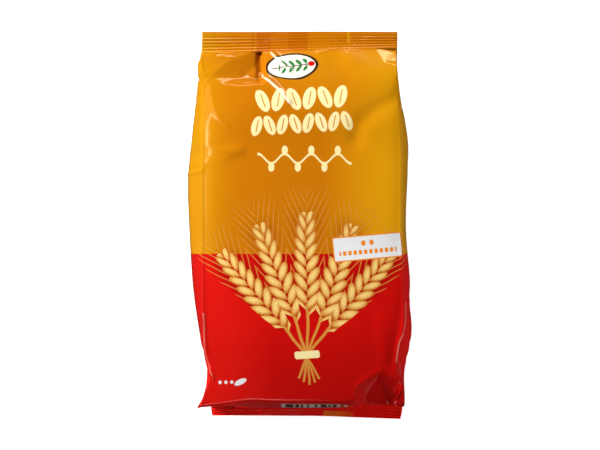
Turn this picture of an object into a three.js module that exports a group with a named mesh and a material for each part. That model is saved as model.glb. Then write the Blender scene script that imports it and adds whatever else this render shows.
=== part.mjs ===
// A sealed film bag of breadsticks with folded side gussets. It lies on its back with its printed
// front up. The bag is one closed tube of film, made of a front panel, a back panel and a gusset on
// each side, and each end of the tube is pressed flat into a ribbed seal.
// Lengths are in millimetres. X runs across the bag, +Y points to the top seal and +Z is up. The
// origin lies on the surface under the bag, in the middle of the bag's box.
import * as THREE from "three";

// Driving sizes.
const BAG_LENGTH = 270.4; // from the cut end of one seal to the cut end of the other
const DEPTH = 71; // filled thickness, between the back panel and the crown of the front
const GUSSET_FOLD = 36; // how far a gusset folds in at a seal, half of its film
const GUSSET_CREASE = 1.8; // how deep the old fold line still shows in a filled gusset
const FRONT_CROWN = 6.5; // how far the middle of the front stands above its long edges
const EDGE_DROP = 8.5; // how much further the front turns down where its long edges are filled round
const BACK_LIFT = 6; // how far the long edges of the back panel curl up from the surface
const BACK_FLAT = 46; // half of the width on which the back panel lies flat
const END_BULGE = 3; // how far the packets push out the middle of the bottom end
const CORNER_REACH = 3.6; // how much further the corners of the bottom edge reach than its middle
const FIN_SKEW = 2.4; // how much further the right end of the bottom seal reaches than the rest
const SEAL_WAVE = 1.1; // how far a seal strays from flat across the bag
const SEAL_FILM = 1.2; // thickness of a pressed seal
const RIB_PITCH = 1.75;
const RIB_HEIGHT = 0.28;
const TOP_END = 136;
const BOTTOM_END = TOP_END - BAG_LENGTH;

// The two side views of the tube, as corners {y, z, round} from the bottom seal to the top one. The
// front and the back have the same corners in the same order: cut end, root of the bottom seal,
// bottom edge, end of the level part, shoulder, root of the top seal, cut end.
const FRONT_PROFILE = [
  { y: BOTTOM_END, z: 15.6, round: 0 },
  { y: -125, z: 19.6, round: 2 },
  { y: -119.6, z: 64, round: 6 },
  { y: -84, z: DEPTH, round: 20 },
  { y: 89, z: 68, round: 24 },
  { y: 126, z: 46, round: 4 },
  { y: TOP_END, z: 46.5, round: 0 },
];
const BACK_PROFILE = [
  { y: BOTTOM_END, z: 15.6 - SEAL_FILM, round: 0 },
  { y: -125, z: 19.6 - SEAL_FILM, round: 2 },
  { y: -114, z: 0, round: 5 },
  { y: -84, z: 0, round: 0 },
  { y: 86, z: 0, round: 16 },
  { y: 126, z: 46 - SEAL_FILM, round: 4 },
  { y: TOP_END, z: 46.5 - SEAL_FILM, round: 0 },
];

// Lines along each side, as [y, distance from the middle of the bag]. A crease is the long edge
// between the front and a gusset, and a heel the one between the back and a gusset. A belly is the
// outermost line of the filled gusset.
const LEFT_CREASE = [
  [BOTTOM_END, 62],
  [-125, 62.5],
  [-121, 70],
  [-112, 66.2],
  [-102, 60],
  [-80, 63],
  [-58, 65.7],
  [-20, 70],
  [30, 73],
  [84, 71.3],
  [112, 70.2],
  [126, 68.3],
  [TOP_END, 68.3],
];
const RIGHT_CREASE = [
  [BOTTOM_END, 71],
  [-125, 72.4],
  [-120, 70.4],
  [-109, 70.4],
  [-95, 64],
  [-79, 66.5],
  [-60, 70.5],
  [-16, 69.5],
  [50, 71.5],
  [100, 67.8],
  [119, 66.4],
  [126, 67.6],
  [TOP_END, 67.6],
];
const LEFT_HEEL = [
  [BOTTOM_END, 62],
  [-125, 62.5],
  [-108, 67],
  [0, 70],
  [100, 69],
  [126, 68.3],
  [TOP_END, 68.3],
];
const RIGHT_HEEL = [
  [BOTTOM_END, 71],
  [-125, 72.4],
  [-108, 69.5],
  [0, 70],
  [100, 68.5],
  [126, 67.6],
  [TOP_END, 67.6],
];
const LEFT_BELLY = [
  [-125, 64],
  [-107, 65],
  [-86, 67.5],
  [-51, 73.5],
  [-16, 77],
  [29, 78.8],
  [61, 76.9],
  [89, 73.7],
  [126, 69],
];
const RIGHT_BELLY = [
  [-125, 71],
  [-107, 70.5],
  [-91, 74],
  [-70, 77.6],
  [-50, 75.4],
  [-37, 75.3],
  [0, 73.5],
  [40, 74.6],
  [58, 75.6],
  [75, 72.8],
  [103, 69],
  [126, 68],
];

// How far from the root of a seal the gusset is folded in, and by when it is filled out again.
const TUCK = {
  top: { opens: 3, folded: 16, filled: 46 },
  bottom: { opens: 3, folded: 18, filled: 52 },
};

// Sharp folds in the front. The film dips to a low point and rises in flat facets to the rim.
const FACETS = [
  {
    name: "dent below the top seal, where the left gusset ends",
    low: [-30.5, 105.5],
    depth: 6.5,
    rim: [[-31, 122], [-63, 107], [-53, 98.5], [-42, 96.5], [-30, 97], [-25.5, 105]],
  },
  {
    name: "flattened right shoulder corner",
    low: [60, 118],
    depth: 2.6,
    rim: [[47, 123], [66, 124], [67, 108]],
  },
  {
    name: "crushed lower right corner",
    low: [49.5, -110.5],
    depth: 7,
    rim: [[52, -97], [43, -103], [36.5, -119], [50, -121], [63, -120], [62, -107]],
  },
  {
    name: "crushed left edge under the shoulder",
    low: [-56, 63],
    depth: 2.4,
    rim: [[-62, 80], [-52, 72], [-48, 66], [-57, 50], [-64, 52]],
  },
];

// Soft folds in the front, each a straight rise or dip with its own width.
const SWELLS = [
  { name: "ridge on the left", from: [-76, 45], to: [-36, 54], height: 1.6, width: 9 },
  { name: "dip on the right", from: [70, 80], to: [28, 52], height: -2.2, width: 11 },
  { name: "dip under the top seal", from: [22, 111], to: [38, 102], height: -2, width: 8 },
  { name: "rise over the upper packets", from: [-30, 88], to: [30, 84], height: 1.2, width: 15 },
  { name: "hollow between the packets", from: [-60, -14], to: [60, -10], height: -1.1, width: 17 },
];

// How finely the film is cut. ROWS has one count for each stretch between two profile corners.
const ROWS = [10, 10, 7, 25, 11, 10];
const FRONT_CELLS = 26;
const GUSSET_CELLS = 8;
const BACK_CELLS = 14;
const EDGE_CROWDING = 1.15; // radians; more than 0 makes cells narrower towards the long edges

const clamp01 = (t) => Math.min(1, Math.max(0, t));
const mix = (a, b, t) => a + (b - a) * t;
const smooth = (low, high, x) => {
  const t = clamp01((x - low) / (high - low));
  return t * t * (3 - 2 * t);
};

// A smooth curve through [y, value] stations, with the slope at each one taken from its neighbours.
function along(stations, y) {
  const last = stations.length - 1;
  if (y <= stations[0][0]) return stations[0][1];
  if (y >= stations[last][0]) return stations[last][1];
  const i = stations.findIndex((s) => s[0] > y) - 1;
  const slope = (k) => {
    const before = stations[Math.max(k - 1, 0)];
    const after = stations[Math.min(k + 1, last)];
    return (after[1] - before[1]) / (after[0] - before[0]);
  };
  const [[y0, v0], [y1, v1]] = [stations[i], stations[i + 1]];
  const step = y1 - y0;
  const t = (y - y0) / step;
  const rise = smooth(0, 1, t) * (v1 - v0);
  return v0 + rise + step * t * (1 - t) * ((1 - t) * slope(i) - t * slope(i + 1));
}

// A point on a profile. The whole part of place names a corner and the rest is the share of the
// stretch after it. A corner is rounded with a parabola that starts `round` before it.
function onProfile(corners, place) {
  const point = (c) => new THREE.Vector2(c.y, c.z);
  const k = Math.min(Math.floor(place), corners.length - 2);
  const [a, b] = [point(corners[k]), point(corners[k + 1])];
  const near = Math.round(place);
  const corner = corners[near];
  if (corner.round > 0) {
    const [before, at, after] = [corners[near - 1], corner, corners[near + 1]].map(point);
    const inShare = corner.round / at.distanceTo(before);
    const outShare = corner.round / at.distanceTo(after);
    const t = (place - near + inShare) / (inShare + outShare);
    if (t > 0 && t < 1) {
      const start = at.clone().lerp(before, inShare);
      const end = at.clone().lerp(after, outShare);
      return start.lerp(at, t).lerp(at.clone().lerp(end, t), t);
    }
  }
  return a.lerp(b, place - k);
}

// How deep a faceted dip is at (x, y): the low point's share of the flat triangle that holds it.
function facetDip({ low, depth, rim }, x, y) {
  for (let i = 0; i < rim.length; i++) {
    const [a, b] = [rim[i], rim[(i + 1) % rim.length]];
    const cross = (p, q) => (p[0] - low[0]) * (q[1] - low[1]) - (p[1] - low[1]) * (q[0] - low[0]);
    const whole = cross(a, b);
    const shareA = cross([x, y], b) / whole;
    const shareB = cross(a, [x, y]) / whole;
    if (shareA >= 0 && shareB >= 0 && shareA + shareB <= 1) return depth * (1 - shareA - shareB);
  }
  return 0;
}

// Height of a soft fold at (x, y), falling off as a bell curve from its line.
function swellHeight({ from, to, height, width }, x, y) {
  const [dx, dy] = [to[0] - from[0], to[1] - from[1]];
  const t = clamp01(((x - from[0]) * dx + (y - from[1]) * dy) / (dx * dx + dy * dy));
  const away = Math.hypot(x - from[0] - t * dx, y - from[1] - t * dy);
  return height * Math.exp(-((away / width) ** 2));
}

const frontRelief = (x, y) =>
  SWELLS.reduce((sum, s) => sum + swellHeight(s, x, y), 0) -
  FACETS.reduce((sum, f) => sum + facetDip(f, x, y), 0);

// Everything that one row of film needs, worked out from its place along the profiles.
function rowAt(place) {
  const front = onProfile(FRONT_PROFILE, place);
  const back = onProfile(BACK_PROFILE, place);
  const topRoot = FRONT_PROFILE[FRONT_PROFILE.length - 2];
  const bottomRoot = FRONT_PROFILE[1];
  const inSeal = place <= 1 || place >= FRONT_PROFILE.length - 2;
  const fromTop = inSeal ? 0 : Math.hypot(front.x - topRoot.y, front.y - topRoot.z);
  const fromBottom = inSeal ? 0 : Math.hypot(front.x - bottomRoot.y, front.y - bottomRoot.z);
  const folded = ({ opens, folded, filled }, away) =>
    smooth(0, opens, away) * (1 - smooth(folded, filled, away));
  const filling = smooth(0, 44, fromTop) * smooth(8, 60, fromBottom);
  const onEnd = Math.max(0, 1 - Math.abs(place - 1.5) * 2);
  const sealEnd = place <= 1 ? BOTTOM_END : TOP_END;
  const rib = Math.round(Math.abs(front.x - sealEnd) / (RIB_PITCH / 2)) % 2 ? 1 : -1;
  return {
    front,
    back,
    ribs: inSeal ? (rib * RIB_HEIGHT) / 2 : 0,
    crown: FRONT_CROWN * filling,
    drop: EDGE_DROP * smooth(4, 52, fromTop) * smooth(-56, 0, front.x),
    lift: BACK_LIFT * smooth(0, 40, fromTop) * smooth(0, 24, fromBottom),
    relief: inSeal ? 0 : smooth(0, 6, fromTop) * smooth(36, 48, fromBottom),
    tuck: Math.max(folded(TUCK.top, fromTop), folded(TUCK.bottom, fromBottom)),
    bulge: smooth(0, 12, fromTop) * smooth(0, 40, fromBottom),
    endBulge: END_BULGE * onEnd,
    cornerReach: CORNER_REACH * Math.max(0, 1 - Math.abs(place - 2) * 2),
    skew: FIN_SKEW * (1 - smooth(0.6, 1.4, place)),
    wave: SEAL_WAVE * (1 - smooth(0, 30, Math.min(fromTop, fromBottom))),
  };
}

// Where both panels lie at a share (-1 to 1) of the way across, where their long edge lies
// `edge` from the middle. The ends swell or lie askew, and the seals are wavy.
function panelPlace(row, share, edge, y) {
  const swell = row.endBulge * (1 - share ** 2) + row.cornerReach * share ** 2;
  const askew = row.skew * clamp01((share - 0.2) / 0.8);
  const wave = row.wave * Math.sin(3.4 * share + 0.6);
  return { x: share * edge, y: y - swell - askew, offset: wave + row.ribs };
}

// The front panel's surface: a low crown, turned down at its long edges, with the folds on it.
function frontPoint(row, share) {
  const edge = along(share < 0 ? LEFT_CREASE : RIGHT_CREASE, row.front.x);
  const { x, y, offset } = panelPlace(row, share, edge, row.front.x);
  const fall = row.crown * Math.abs(share) ** 2.6 + row.drop * Math.abs(share) ** 12;
  return new THREE.Vector3(x, y, row.front.y - fall + row.relief * frontRelief(x, y) + offset);
}

// The back panel's surface: flat on the ground in the middle, with its long edges curled up.
function backPoint(row, share) {
  const edge = along(share < 0 ? LEFT_HEEL : RIGHT_HEEL, row.back.x);
  const { x, y, offset } = panelPlace(row, share, edge, row.back.x);
  const curl = clamp01((Math.abs(x) - BACK_FLAT) / (edge - BACK_FLAT)) ** 2;
  return new THREE.Vector3(x, y, row.back.y + row.lift * curl + offset);
}

// A gusset from the front's edge to the back's edge. Where it is filled it bulges out to the belly
// line, and where it is folded it makes a V whose fold lies as deep as its film reaches.
function gussetPoint(row, side, from, to, share) {
  const y = mix(from.y, to.y, share);
  const edge = mix(Math.abs(from.x), Math.abs(to.x), share);
  const gap = from.z - to.z;
  const reach = Math.sqrt(Math.max(0, GUSSET_FOLD ** 2 - (gap / 2) ** 2));
  const belly = along(side < 0 ? LEFT_BELLY : RIGHT_BELLY, y) - edge;
  const out = row.tuck > 0 ? mix(belly * row.bulge, -reach, row.tuck) : belly * row.bulge;
  const fromFold = Math.abs(2 * share - 1);
  const crease = GUSSET_CREASE * row.bulge * (1 - row.tuck) * Math.max(0, 1 - 4 * fromFold);
  const x = edge + out * (1 - fromFold ** mix(2.8, 1, row.tuck)) - crease;
  return new THREE.Vector3(side * x, y, mix(from.z, to.z, share));
}

// One closed loop of film, going over the front from left to right and back underneath.
function filmLoop(place) {
  const row = rowAt(place);
  const lip = new THREE.Vector3(0, 0, SEAL_FILM / 4);
  const steps = (count) => Array.from({ length: count + 1 }, (_, i) => i / count);
  const across = (t) => Math.sin(EDGE_CROWDING * (2 * t - 1)) / Math.sin(EDGE_CROWDING);
  const front = steps(FRONT_CELLS).map((t) => frontPoint(row, across(t)));
  const back = steps(BACK_CELLS).map((t) => backPoint(row, -across(t)));
  const gusset = (side, top, bottom) =>
    steps(GUSSET_CELLS).map((t) => gussetPoint(row, side, top, bottom, t));
  const right = gusset(1, front.at(-1).clone().sub(lip), back[0].clone().add(lip));
  const left = gusset(-1, front[0].clone().sub(lip), back.at(-1).clone().add(lip)).reverse();
  return [...front, ...right, ...back, ...left];
}

// The film as one closed surface: a band of cells between each two loops, and a lid on each end.
function bagGeometry() {
  const places = ROWS.flatMap((count, block) =>
    Array.from({ length: count }, (_, i) => block + i / count),
  );
  const loops = [...places, ROWS.length].map(filmLoop);
  const around = loops[0].length;
  const middleOf = (loop) =>
    loop.reduce((sum, p) => sum.add(p), new THREE.Vector3()).divideScalar(around);
  const points = [...loops.flat(), middleOf(loops[0]), middleOf(loops.at(-1))];
  const faces = [];
  for (let i = 0; i < around; i++) {
    const next = (i + 1) % around;
    for (let row = 0; row + 1 < loops.length; row++) {
      const [low, high] = [row * around, (row + 1) * around];
      faces.push(low + i, low + next, high + next, low + i, high + next, high + i);
    }
    const end = (loops.length - 1) * around;
    faces.push(points.length - 2, next, i);
    faces.push(points.length - 1, end + i, end + next);
  }
  const geometry = new THREE.BufferGeometry().setFromPoints(points);
  geometry.setIndex(faces);
  geometry.computeVertexNormals();
  return geometry;
}

const printedFilm = new THREE.MeshStandardMaterial({
  name: "printed film",
  color: new THREE.Color().setRGB(0.86, 0.53, 0.06, THREE.SRGBColorSpace),
  roughness: 0.32,
  metalness: 0,
});

const bag = new THREE.Mesh(bagGeometry(), printedFilm);
bag.name = "film_bag";

// The sides of a filled bag aren't alike, so the box is centred over the origin at the end.
const box = new THREE.Box3().setFromObject(bag);
const middle = box.getCenter(new THREE.Vector3());
bag.position.set(-middle.x, -middle.y, -box.min.z);

const part = new THREE.Group();
part.add(bag);

export default part;
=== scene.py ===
# %% [markdown]
# # A filled bag of breadsticks
# The bag is one tube of glossy printed film. Its two sides are folded in as gussets, and each end is
# pressed flat between ribbed hot jaws. Filled, it swells into a soft block that lies on its back.
# The CAD model holds the bag's size and place as a plain solid. This script replaces that solid with
# a fine surface of film, with its folds, ribs, dents and print, in the same frame and in metres.

import bpy
import numpy as np
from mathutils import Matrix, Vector


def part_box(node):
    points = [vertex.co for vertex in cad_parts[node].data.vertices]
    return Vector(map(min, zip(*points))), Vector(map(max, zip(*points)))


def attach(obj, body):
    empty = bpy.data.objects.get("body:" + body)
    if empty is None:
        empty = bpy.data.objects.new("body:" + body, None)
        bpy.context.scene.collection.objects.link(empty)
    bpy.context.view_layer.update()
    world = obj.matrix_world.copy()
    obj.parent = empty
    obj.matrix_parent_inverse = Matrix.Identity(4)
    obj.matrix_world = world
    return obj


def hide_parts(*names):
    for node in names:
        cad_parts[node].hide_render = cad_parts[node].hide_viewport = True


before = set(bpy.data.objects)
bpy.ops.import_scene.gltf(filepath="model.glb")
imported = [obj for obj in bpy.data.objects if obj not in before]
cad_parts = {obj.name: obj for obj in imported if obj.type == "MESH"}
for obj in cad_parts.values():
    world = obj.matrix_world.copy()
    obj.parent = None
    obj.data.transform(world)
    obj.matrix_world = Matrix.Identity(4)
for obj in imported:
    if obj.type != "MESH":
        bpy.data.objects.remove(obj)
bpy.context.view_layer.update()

MM = 0.001
bag_low, bag_high = (np.array(corner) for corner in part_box("film_bag"))
print("CAD box of the bag:", np.round(np.concatenate([bag_low, bag_high]), 4))

# %% [markdown]
# ## The camera
# The bag can't stand unheld, so it lies with its front up, and the camera looks straight down on
# it, as if it faced a standing bag. The lens is worked out from how much of the bag's middle plane
# has to fit across the picture: sensor width times distance, over the width that is seen.

# %% Camera
CAMERA_HEIGHT = 1.096
CAMERA_Y = 0.0018
SEEN_HEIGHT = 0.036  # the level in the bag at which SEEN_WIDTH is measured
SEEN_WIDTH = 0.420
SENSOR_WIDTH = 36.0

camera = bpy.data.objects.new("camera", bpy.data.cameras.new("camera"))
camera.location = (0, CAMERA_Y, CAMERA_HEIGHT)
camera.data.sensor_width = SENSOR_WIDTH
camera.data.lens = SENSOR_WIDTH * (CAMERA_HEIGHT - SEEN_HEIGHT) / SEEN_WIDTH
bpy.context.scene.collection.objects.link(camera)
bpy.context.scene.camera = camera
print(f"lens {camera.data.lens:.1f} mm")

# %% [markdown]
# ## The side view of the tube
# Seen from the side, the front and the back of the bag are two chains of straight stretches with
# rounded corners. Both have the same corners in the same order, from the bottom seal to the top
# one, so one number, the place, names a row of film on both: its whole part is a corner, and its
# rest is the share of the stretch after that corner.

# %% Sizes and the two profiles
BAG_LENGTH = 269.2 * MM
DEPTH = 71 * MM
SEAL_FILM = 0.6 * MM
TOP_END = 136 * MM
BOTTOM_END = TOP_END - BAG_LENGTH

# each corner: y, z, and how far before and after it its rounding reaches
FRONT_PROFILE = np.array(
    [
        (BOTTOM_END, 0.0228, 0),
        (-0.125, 0.0248, 0.002),
        (-0.1196, 0.064, 0.003),
        (-0.084, DEPTH, 0.020),
        (0.089, 0.068, 0.024),
        (0.125, 0.046, 0.004),
        (TOP_END, 0.0465, 0),
    ]
)
BACK_PROFILE = np.array(
    [
        (BOTTOM_END, 0.0228 - SEAL_FILM, 0),
        (-0.125, 0.0248 - SEAL_FILM, 0.002),
        (-0.112, 0, 0.008),
        (-0.084, 0, 0),
        (0.086, 0, 0.016),
        (0.125, 0.046 - SEAL_FILM, 0.004),
        (TOP_END, 0.0465 - SEAL_FILM, 0),
    ]
)
TOP_ROOT = len(FRONT_PROFILE) - 2
BOTTOM_ROOT = 1
print(f"{len(FRONT_PROFILE)} corners, from {BOTTOM_END * 1000:.1f} to {TOP_END * 1000:.1f} mm")

# %% Rows of film
# One count of cells for each stretch between two corners. The two seals have the finest rows,
# because each of their ribs is narrow.
ROW_CELLS = (34, 38, 32, 140, 54, 38)


def on_profile(profile, place):
    """y and z at each place: straight between two corners, and near a rounded corner a parabola
    that leaves the stretch before it and joins the stretch after it at the same distance."""
    yz = np.stack([np.interp(place, np.arange(len(profile)), profile[:, k]) for k in (0, 1)], -1)
    for k in np.flatnonzero(profile[:, 2]):
        before, at, after = profile[k - 1, :2], profile[k, :2], profile[k + 1, :2]
        reach_in = profile[k, 2] / np.linalg.norm(at - before)
        reach_out = profile[k, 2] / np.linalg.norm(after - at)
        t = ((place - k + reach_in) / (reach_in + reach_out))[:, None]
        start, end = at + (before - at) * reach_in, at + (after - at) * reach_out
        arc = (1 - t) ** 2 * start + 2 * t * (1 - t) * at + t**2 * end
        yz = np.where((t > 0) & (t < 1), arc, yz)
    return yz[:, 0], yz[:, 1]


place = np.concatenate(
    [np.arange(cells) / cells + block for block, cells in enumerate(ROW_CELLS)]
    + [[len(ROW_CELLS)]]
)
front_y, front_z = on_profile(FRONT_PROFILE, place)
back_y, back_z = on_profile(BACK_PROFILE, place)
film_v = np.concatenate([[0], np.cumsum(np.hypot(np.diff(front_y), np.diff(front_z)))])
film_v -= np.interp(0, front_y, film_v)  # the film's own length coordinate is 0 where y is 0
in_seal = (place <= BOTTOM_ROOT) | (place >= TOP_ROOT)
print(f"{len(place)} rows, film from {film_v[0]:.3f} to {film_v[-1]:.3f} m")

# %% [markdown]
# ## Lines along the sides
# Three lines run along each side of the bag. The crease is the edge between the front and a gusset,
# the heel is the edge between the back and a gusset, and the belly is the outermost line of the
# gusset where it is filled out. Each is given at a few stations, with a smooth curve through them.

# %% Side lines
def along(stations, y):
    """A smooth curve through (y, value) stations: between two of them a cubic, whose slope at each
    station is the slope from the station before it to the station after it."""
    at, value = np.array(stations, float).T * MM
    slope = np.concatenate(
        [
            [(value[1] - value[0]) / (at[1] - at[0])],
            (value[2:] - value[:-2]) / (at[2:] - at[:-2]),
            [(value[-1] - value[-2]) / (at[-1] - at[-2])],
        ]
    )
    y = np.clip(y, at[0], at[-1])
    i = np.clip(np.searchsorted(at, y, side="right") - 1, 0, len(at) - 2)
    step = at[i + 1] - at[i]
    t = (y - at[i]) / step
    eased = t * t * (3 - 2 * t)
    bend = step * t * (1 - t) * ((1 - t) * slope[i] - t * slope[i + 1])
    return value[i] + eased * (value[i + 1] - value[i]) + bend


# stations in millimetres: y, then the distance from the middle
LEFT_CREASE = (
    (-134.4, 63), (-125, 64), (-121, 71.5), (-114, 67.4), (-98, 61.3), (-80, 65), (-60, 66.8),
    (-20, 67.5), (30, 68), (65, 66.8), (81, 66), (92, 65.6), (102, 65.8), (111, 68.2), (118, 69.4),
    (125, 69), (136, 68.6),
)
RIGHT_CREASE = (
    (-134.4, 70.3), (-125, 71.8), (-120, 70.8), (-109, 70.2), (-95, 65), (-79, 67), (-62, 69.5),
    (-16, 68.4), (50, 68.2), (75, 67.2), (95, 66), (108, 66), (118, 66.2), (126, 66.9), (136, 66.9),
)
LEFT_HEEL = (
    (-134.4, 63), (-125, 64), (-108, 65.5), (0, 67.5), (100, 67.5), (125, 68.6), (136, 68.6),
)
RIGHT_HEEL = (
    (-134.4, 70.3), (-125, 71.8), (-108, 69.5), (0, 67.5), (100, 67), (126, 66.9), (136, 66.9),
)
LEFT_BELLY = (
    (-125, 65), (-107, 66), (-92, 66.6), (-82, 69.4), (-51, 74.3), (-16, 77.1), (29, 79), (61, 77.6),
    (89, 75.8), (105, 74.2), (116, 73.4), (125, 70),
)
RIGHT_BELLY = (
    (-125, 72), (-107, 71.8), (-91, 75.2), (-70, 77.9), (-50, 75.6), (-37, 75.9), (0, 73), (40, 74.4),
    (58, 75.6), (75, 73.6), (90, 70.6), (103, 68.2), (115, 66.8), (126, 67),
)
print("the widest belly is", max(out for _, out in LEFT_BELLY), "mm from the middle")

# %% [markdown]
# ## How full each row is
# A row in a seal is pressed flat. Away from the seal the front rises to a crown, its long edges are
# filled round, the folded gusset opens out, and the long edges of the back curl up from the floor.
# Each of these is a share that grows with the distance from one seal, times one that grows with
# the distance from the other.

# %% Shares of each row
# between which distances from the top seal, then from the bottom seal, each share grows, in mm
GROWTH = {
    "filling": ((0, 44), (8, 60)),
    "lifting": ((0, 40), (0, 24)),
    "bulging": ((0, 12), (0, 40)),
    "folds": ((0, 2.8), (4, 37)),
    "opened": ((40, 95), (45, 100)),
    "filled_out": ((20, 42), (30, 56)),
}


def smooth(low, high, value):
    """0 up to low, 1 from high on, and between them the S-curve 3 t^2 - 2 t^3."""
    t = np.clip((value - low) / (high - low), 0, 1)
    return t * t * (3 - 2 * t)


def from_corner(k):
    """How far each row of the front is from a corner of the profile, and 0 in the seals."""
    away = np.hypot(front_y - FRONT_PROFILE[k, 0], front_z - FRONT_PROFILE[k, 1])
    return np.where(in_seal, 0, away)


from_top, from_bottom = from_corner(TOP_ROOT), from_corner(BOTTOM_ROOT)
nearer_seal = np.minimum(from_top, from_bottom)


def grown(name):
    """The S-curve from the top seal and the one from the bottom seal, for one share."""
    top, bottom = np.array(GROWTH[name]) * MM
    return smooth(*top, from_top), smooth(*bottom, from_bottom)


filling, lifting, bulging, opened = (
    np.prod(grown(name), axis=0) for name in ("filling", "lifting", "bulging", "opened")
)
rounding = smooth(4 * MM, 52 * MM, from_top) * smooth(-56 * MM, 0, front_y)  # in the upper half
fold_share = np.where(in_seal, 0, np.prod(grown("folds"), axis=0))
tucked = np.where(in_seal, 1, 1 - np.min(grown("filled_out"), axis=0))
print(f"the gussets are folded in over {np.count_nonzero(tucked > 0)} rows")

# %% How the ends differ from a straight tube
END_BULGE = 3 * MM  # how far the packets push out the bottom wall
CORNER_REACH = 3.6 * MM
EDGE_WAVE = 1.7 * MM
FIN_SKEW = 2.4 * MM
ROOT_SKEW, ROOT_SKEW_FADE = 0.026, 40 * MM  # how steeply the top seal's lower edge rises
SEAL_WAVE, SEAL_WAVE_FADE = 1.1 * MM, 30 * MM
BOTTOM_WALL, BOTTOM_EDGE = 1.5, 2  # places: the middle of the bottom wall, and its upper edge


def peak(middle, reach):
    """1 at a place of the profile, and from there straight down to 0 at a reach on both sides."""
    return np.clip(1 - np.abs(place - middle) / reach, 0, 1)


end_bulge = END_BULGE * peak(BOTTOM_WALL, 0.5)
corner_reach = CORNER_REACH * peak(BOTTOM_EDGE, 0.5)
edge_wave = EDGE_WAVE * peak(BOTTOM_EDGE, 0.5)
fin_skew = FIN_SKEW * (1 - smooth(BOTTOM_ROOT - 0.4, BOTTOM_ROOT + 0.4, place))
from_root = np.abs(front_y - FRONT_PROFILE[TOP_ROOT, 0])
root_skew = ROOT_SKEW * (1 - smooth(0, ROOT_SKEW_FADE, from_root))
root_skew = np.where(place > TOP_ROOT, ROOT_SKEW * (len(ROW_CELLS) - place), root_skew)
seal_wave = SEAL_WAVE * (1 - smooth(0, SEAL_WAVE_FADE, nearer_seal))
print(f"the fin lies askew by up to {fin_skew.max() * 1000:.1f} mm")

# %% [markdown]
# ## Folds in the front
# Thin film that is pushed in makes flat facets with sharp straight creases between them. Each such
# dent is a small net of triangles, with a depth at each of its corners. Soft folds are long
# bell-shaped rises or hollows along a line, and crests are narrow ones.

# %% Dents
# a dent: its corners as x, y and depth in millimetres, and its facets as three corners each
DENTS = {
    "dent where the left gusset ends": (
        (
            (-31.6, 122.6, 0.6), (-39.2, 119.6, 0), (-50.8, 115, 0), (-62.9, 103.4, 0),
            (-56.3, 99, 0), (-44.6, 97.4, 0), (-29.5, 98.6, 0), (-31.8, 102, 5.4),
            (-31.5, 111.7, 4.8), (-26.8, 102.6, 10.2), (-23.2, 107, 0), (-25.2, 119, 0),
            (-24, 99.5, 0), (-42.6, 110.3, 3.2), (-52.2, 104.3, 2.4), (-37.5, 106.5, 5.6),
            (-43.5, 102.6, 4.4), (-28.4, 122.4, 4.5), (-30.2, 125, 0),
        ),
        (
            (0, 1, 8), (1, 13, 8), (1, 2, 13), (2, 14, 13), (2, 3, 14), (8, 13, 15), (13, 14, 16),
            (13, 16, 15), (8, 15, 7), (15, 16, 7), (3, 4, 14), (4, 16, 14), (4, 5, 16), (5, 7, 16),
            (5, 6, 7), (0, 17, 8), (17, 9, 8), (8, 9, 7), (7, 9, 6), (17, 11, 9), (11, 10, 9),
            (9, 10, 12), (9, 12, 6), (0, 18, 17), (18, 11, 17),
        ),
    ),
    "slanted strip on the left edge": (
        (
            (-63, 103, 0), (-60.6, 94, 0), (-59.2, 85.8, 0), (-57.2, 78.9, 0), (-49.3, 68.6, 0),
            (-52, 63, 0), (-68, 56, 0), (-68.5, 80, 0.5), (-68, 93, 0.5), (-59, 72, 0.4),
            (-68.5, 103, 0),
        ),
        (
            (0, 1, 8), (1, 2, 8), (2, 7, 8), (2, 3, 7), (3, 9, 7), (3, 4, 9), (4, 5, 9), (5, 6, 9),
            (6, 7, 9), (0, 8, 10),
        ),
    ),
    "flattened right shoulder corner": (
        (
            (51.2, 124.5, 0), (63, 125.2, 2.4), (68, 119.5, 3.1), (63, 114, 1.2), (57, 115, 0),
            (68.5, 111, 0), (68.5, 126.5, 0),
        ),
        ((0, 1, 4), (1, 2, 4), (4, 2, 3), (3, 2, 5), (1, 6, 2)),
    ),
    "crushed lower right corner": (
        (
            (53.8, -97.3, 0), (38.8, -106.8, 0), (36.7, -119.4, 0), (36.7, -127, 0),
            (45.3, -112.3, 5.5), (42.5, -119.4, 9), (58.5, -119.4, 11), (42.5, -127, 9),
            (55, -104, 3.2), (63.3, -111.2, 5.2), (68, -116.7, 6.5), (71, -119.4, 4),
            (67.5, -103, 0), (58.5, -127, 11), (71, -127, 4), (71, -110, 0),
        ),
        (
            (0, 1, 4), (1, 2, 5), (1, 5, 4), (0, 4, 8), (4, 5, 6), (4, 6, 8), (8, 6, 9), (9, 6, 10),
            (0, 8, 12), (8, 9, 12), (9, 15, 12), (9, 10, 15), (10, 11, 15), (2, 3, 5), (3, 7, 5),
            (5, 7, 6), (7, 13, 6), (6, 13, 10), (10, 13, 11), (13, 14, 11),
        ),
    ),
    "crushed left edge": (
        (
            (-70, 57, 0), (-56, 54, 0), (-47, 50.5, 0), (-54, 45, 0), (-70, 43, 0), (-69, 49, 1.8),
            (-60, 49.5, 1.3),
        ),
        ((0, 1, 6), (1, 2, 6), (2, 3, 6), (3, 4, 6), (4, 5, 6), (5, 0, 6)),
    ),
}
SOFTENING = 0.4 * MM  # how far the places lie from which a dent's depth is averaged


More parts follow.
